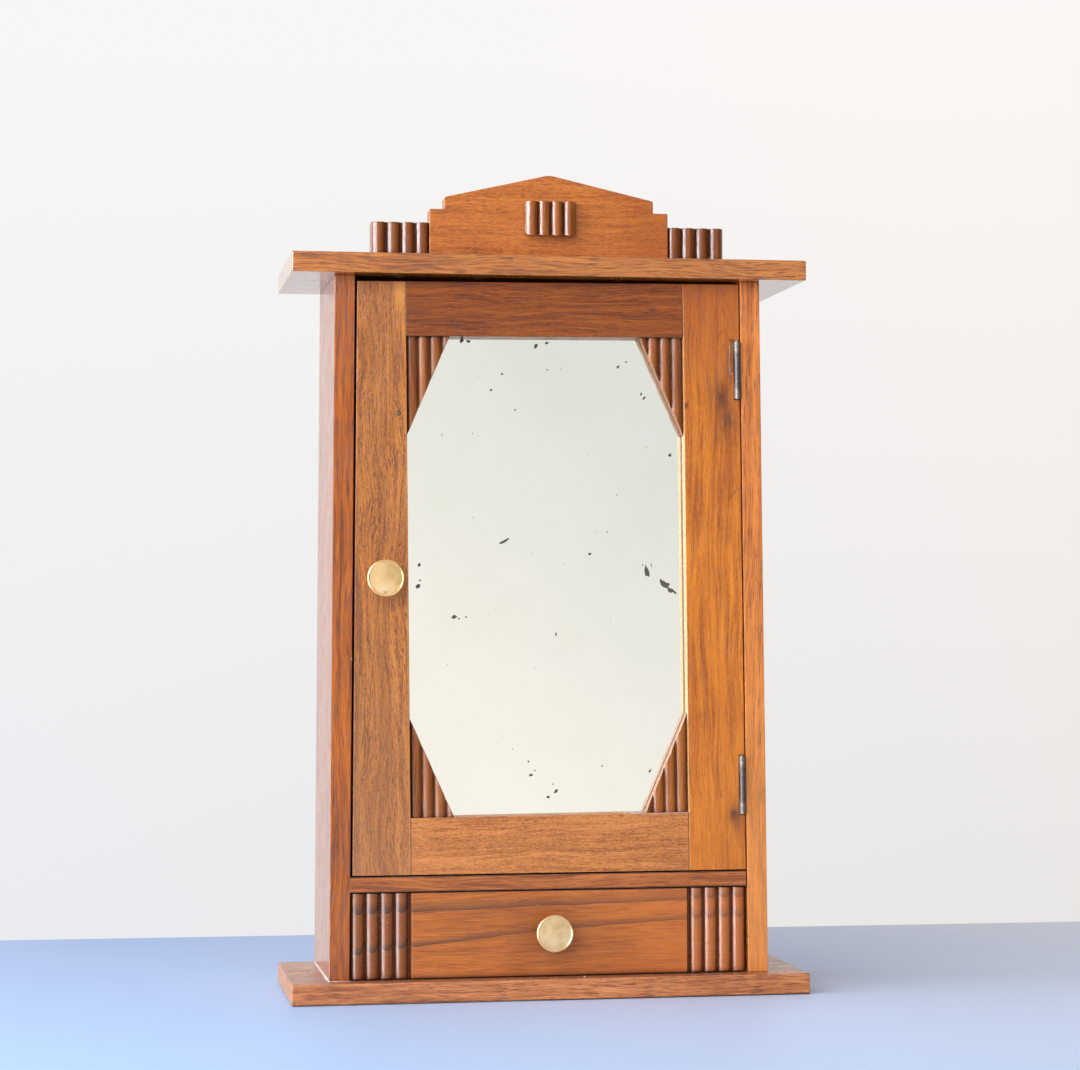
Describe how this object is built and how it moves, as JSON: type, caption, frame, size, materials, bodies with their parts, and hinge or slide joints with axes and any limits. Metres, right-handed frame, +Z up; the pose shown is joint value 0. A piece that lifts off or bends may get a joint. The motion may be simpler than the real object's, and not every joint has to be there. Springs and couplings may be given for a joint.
{
  "type": "medicine cabinet",
  "caption": "Wooden medicine cabinet with a mirror door, reeded corner blocks, a drawer below it and a stepped gable crest, built between thick overhanging boards.",
  "frame": {"origin": "centre of the base board's underside", "axes": "+Z up, front of the cabinet towards -Y, +X to the right as seen from the front"},
  "size_m": [0.45, 0.1684, 0.7115],
  "materials": {
    "case_wood": "oiled, worn edges",
    "door_wood": "oiled, worn edges",
    "reeded_wood": "polished",
    "inner_wood": "bare",
    "plywood": "bare",
    "brass": "aged satin",
    "hinge_steel": "worn",
    "steel_fastenings": "worn",
    "catch_steel": "satin",
    "catch_housing": "matte",
    "mirror": "old silvering with spots"
  },
  "bodies": {
    "carcass": {"base_board": "case_wood", "top_board": "case_wood", "left_side": "case_wood", "right_side": "case_wood", "back_panel": "plywood", "hanging_rail": "inner_wood", "drawer_divider": "case_wood", "lower_shelf": "inner_wood", "upper_shelf": "inner_wood", "shelf_cleats": "inner_wood", "drawer_guides": "inner_wood", "drawer_stops": "inner_wood", "crest_board": "case_wood", "crest_block_left": "reeded_wood", "crest_block_right": "reeded_wood", "crest_center_block": "reeded_wood", "case_leaf_upper": "hinge_steel", "case_leaf_lower": "hinge_steel", "hinge_pins": "hinge_steel", "door_catch": "catch_housing", "top_screws": "steel_fastenings", "base_screws": "steel_fastenings", "crest_screws": "steel_fastenings", "back_panel_pins": "steel_fastenings", "cleat_pins": "steel_fastenings", "case_leaf_screws": "steel_fastenings", "catch_screws": "steel_fastenings"},
    "door": {"door_stile_left": "door_wood", "door_stile_right": "door_wood", "door_rail_top": "door_wood", "door_rail_bottom": "door_wood", "mirror_glass": "mirror", "mirror_backing": "plywood", "backing_screws": "steel_fastenings", "corner_block_upper_left": "reeded_wood", "corner_block_upper_right": "reeded_wood", "corner_block_lower_left": "reeded_wood", "corner_block_lower_right": "reeded_wood", "door_leaf_upper": "hinge_steel", "door_leaf_lower": "hinge_steel", "door_leaf_screws": "steel_fastenings", "door_knob": "brass", "door_knob_screw": "steel_fastenings", "catch_plate": "catch_steel", "catch_plate_screw": "steel_fastenings"},
    "drawer": {"drawer_front": "case_wood", "drawer_side_left": "inner_wood", "drawer_side_right": "inner_wood", "drawer_back": "inner_wood", "drawer_bottom": "plywood", "drawer_pins": "steel_fastenings", "drawer_knob": "brass", "drawer_knob_screw": "steel_fastenings"}
  },
  "joints": [
    {"name": "door_hinge", "type": "hinge", "parent": "carcass", "child": "door", "pos_m": [0.1711, -0.0655, 0.018], "axis": [-0.0083, 0, 1], "range_deg": [0, 180]},
    {"name": "drawer_slide", "type": "slide", "parent": "carcass", "child": "drawer", "axis": [0, -1, 0], "range_m": [0, 0.1]}
  ]
}
